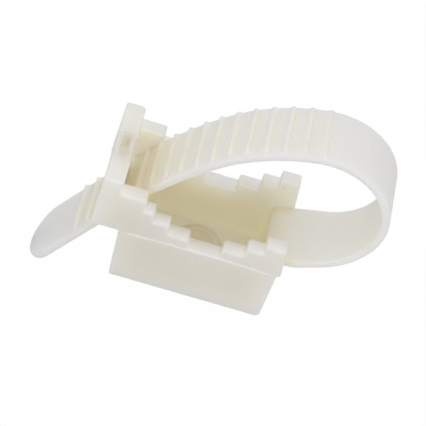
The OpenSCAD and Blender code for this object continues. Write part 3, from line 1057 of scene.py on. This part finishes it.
class HOLDER_OT_saddle(bpy.types.Operator):
    """Build the saddle: box, cheeks, bridge and pawl with rounded rims"""

    bl_idname = "holder.saddle"
    bl_label = "Saddle"

    def execute(self, context):
        layout = HolderLayout(context.scene)
        s = layout.saddle
        lap = s.wall / 8
        inside = s.slot / 2
        saddle = prism("saddle", plate_outline(layout), -layout.half_width, -inside)
        tower = s.floor + s.collar_height
        carve(saddle, [
            prism("far_plate", plate_outline(layout), inside, layout.half_width),
            prism("trough", trough_outline(layout), -inside - lap, inside + lap),
            prism("bridge", bridge_outline(layout), -inside - lap, inside + lap),
            post("collar", s.hole + 2 * s.collar, s.floor / 2, tower),
        ], "UNION")
        window = [
            Vector((layout.window_out, layout.bridge_low - lap)),
            Vector((layout.window_in, layout.bridge_low - lap)),
            Vector((layout.window_in, layout.bridge_top + lap)),
            Vector((layout.window_out, layout.bridge_top + lap)),
        ]
        carve(saddle, [
            prism("window", window, -s.window_length / 2, s.window_length / 2),
            post("bore", s.hole, -lap, tower + lap),
        ], "DIFFERENCE")
        carve(saddle, [
            prism("pawl", pawl_outline(layout), -s.window_length / 2, s.window_length / 2),
        ], "UNION")
        round_rims(saddle, layout)
        coat(saddle, "saddle_nylon")
        return {"FINISHED"}


class HOLDER_OT_strap(bpy.types.Operator):
    """Build the strap with its ratchet teeth and round tip"""

    bl_idname = "holder.strap"
    bl_label = "Toothed Strap"

    def execute(self, context):
        layout = HolderLayout(context.scene)
        strap = new_object("toothed_strap", strap_mesh(layout))
        coat(strap, "strap_nylon")
        return {"FINISHED"}


class HOLDER_OT_flash(bpy.types.Operator):
    """Build the thin flash along the parting line"""

    bl_idname = "holder.flash"
    bl_label = "Parting Flash"

    def execute(self, context):
        layout = HolderLayout(context.scene)
        flash = new_object("parting_flash", flash_mesh(layout))
        coat(flash, "flash_nylon")
        return {"FINISHED"}


class HOLDER_OT_moulding(bpy.types.Operator):
    """Join the saddle, the strap and the flash into the one moulding that they are"""

    bl_idname = "holder.moulding"
    bl_label = "Moulding"

    def execute(self, context):
        moulding = bpy.data.objects["saddle"]
        carve(moulding, [bpy.data.objects["toothed_strap"], bpy.data.objects["parting_flash"]], "UNION")
        moulding.name = moulding.data.name = "moulding"
        moulding.data.transform(Matrix.Scale(MM, 4))
        moulding.data.shade_smooth()
        moulding.modifiers.new("flat faces", "WEIGHTED_NORMAL").mode = "FACE_AREA_WITH_ANGLE"
        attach(moulding, BODY)
        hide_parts(NODE)
        return {"FINISHED"}


class HOLDER_OT_stage(bpy.types.Operator):
    """Set up the floor, the lamps, the world and the camera"""

    bl_idname = "holder.stage"
    bl_label = "Studio Stage"

    def execute(self, context):
        scene = context.scene
        studio = scene.holder_studio
        scene.view_settings.view_transform = "Standard"
        self.lay_floor(studio)
        self.light_sky(scene, studio)
        self.hang_lamp("key", KEY_PLACE, KEY_SIZE, studio.key_power)
        self.hang_lamp("fill", FILL_PLACE, FILL_SIZE, studio.fill_power)
        self.hang_lamp("top", TOP_PLACE, TOP_SIZE, studio.top_power)
        self.set_camera(scene, studio)
        return {"FINISHED"}

    def lay_floor(self, studio):
        """A wide pale floor just below the part."""
        bm = bmesh.new()
        bmesh.ops.create_grid(bm, x_segments=1, y_segments=1, size=FLOOR_SIZE)
        floor = new_object("floor", mesh_from("floor", bm))
        floor.location.z = CAD_BOX[0][2] - studio.floor_drop
        floor.data.materials.append(floor_material(studio))

    def light_sky(self, scene, studio):
        """Even light from all round, which the camera sees as white."""
        world = bpy.data.worlds.new("studio_sky")
        scene.world = world
        world.use_nodes = True
        tree = world.node_tree
        light = tree.nodes["Background"]
        light.inputs["Color"].default_value = rgba(studio.sky)
        light.inputs["Strength"].default_value = studio.sky_strength
        white = add_node(tree, "ShaderNodeBackground", Strength=1.0, Color=rgba(WHITE))
        mix = add_node(tree, "ShaderNodeMixShader")
        link(tree, seen_rays(tree), mix.inputs[0])
        link(tree, light.outputs[0], mix.inputs[1])
        link(tree, white.outputs[0], mix.inputs[2])
        link(tree, mix.outputs[0], tree.nodes["World Output"].inputs["Surface"])

    def hang_lamp(self, name, place, size, power):
        """A large square lamp that faces the part."""
        lamp = bpy.data.lights.new(name, "AREA")
        lamp.size = size
        lamp.energy = power
        piece = bpy.data.objects.new(name, lamp)
        bpy.context.scene.collection.objects.link(piece)
        piece.location = place
        piece.rotation_euler = (-Vector(place)).to_track_quat("-Z", "Y").to_euler()

    def set_camera(self, scene, studio):
        """A long lens at the photograph's angle."""
        camera = bpy.data.cameras.new("camera")
        camera.lens = studio.lens
        camera.sensor_width = 36.0
        camera.clip_start = 0.01
        piece = bpy.data.objects.new("camera", camera)
        scene.collection.objects.link(piece)
        level, high = math.cos(studio.elevation), math.sin(studio.elevation)
        back = Vector((math.sin(studio.azimuth) * level, -math.cos(studio.azimuth) * level, high))
        aim = Vector((studio.aim_x, 0.0, studio.aim_z))
        turned = back.to_track_quat("Z", "Y").to_matrix().to_4x4()
        piece.matrix_world = (
            Matrix.Translation(aim + back * studio.distance) @ turned @ Matrix.Rotation(studio.roll, 4, "Z"))
        scene.camera = piece


class HOLDER_PT_panel(bpy.types.Panel):
    """Buttons for the pieces of the holder, in the order that they are made"""

    bl_label = "Strap Holder"
    bl_idname = "HOLDER_PT_panel"
    bl_space_type = "VIEW_3D"
    bl_region_type = "UI"
    bl_category = "Strap Holder"

    def draw(self, context):
        for operator in OPERATORS:
            self.layout.operator(operator.bl_idname)


GROUPS = {
    "holder_saddle": HolderSaddleSizes,
    "holder_strap": HolderStrapSizes,
    "holder_teeth": HolderToothSizes,
    "holder_flash": HolderFlashSizes,
    "holder_look": HolderNylonLook,
    "holder_studio": HolderStudio,
}
OPERATORS = (
    HOLDER_OT_finishes,
    HOLDER_OT_saddle,
    HOLDER_OT_strap,
    HOLDER_OT_flash,
    HOLDER_OT_moulding,
    HOLDER_OT_stage,
)


def register():
    """Registers the classes and ties the property groups to the scene."""
    for cls in (*GROUPS.values(), *OPERATORS, HOLDER_PT_panel):
        bpy.utils.register_class(cls)
    for name, group in GROUPS.items():
        setattr(bpy.types.Scene, name, bpy.props.PointerProperty(type=group))


def unregister():
    """Takes the property groups and the classes away again."""
    for name in GROUPS:
        delattr(bpy.types.Scene, name)
    for cls in reversed((*GROUPS.values(), *OPERATORS, HOLDER_PT_panel)):
        bpy.utils.unregister_class(cls)


def main():
    """Builds all the pieces and the stage."""
    register()
    bpy.ops.holder.finishes()
    bpy.ops.holder.saddle()
    bpy.ops.holder.strap()
    bpy.ops.holder.flash()
    bpy.ops.holder.moulding()
    bpy.ops.holder.stage()


if __name__ == "__main__":
    main()
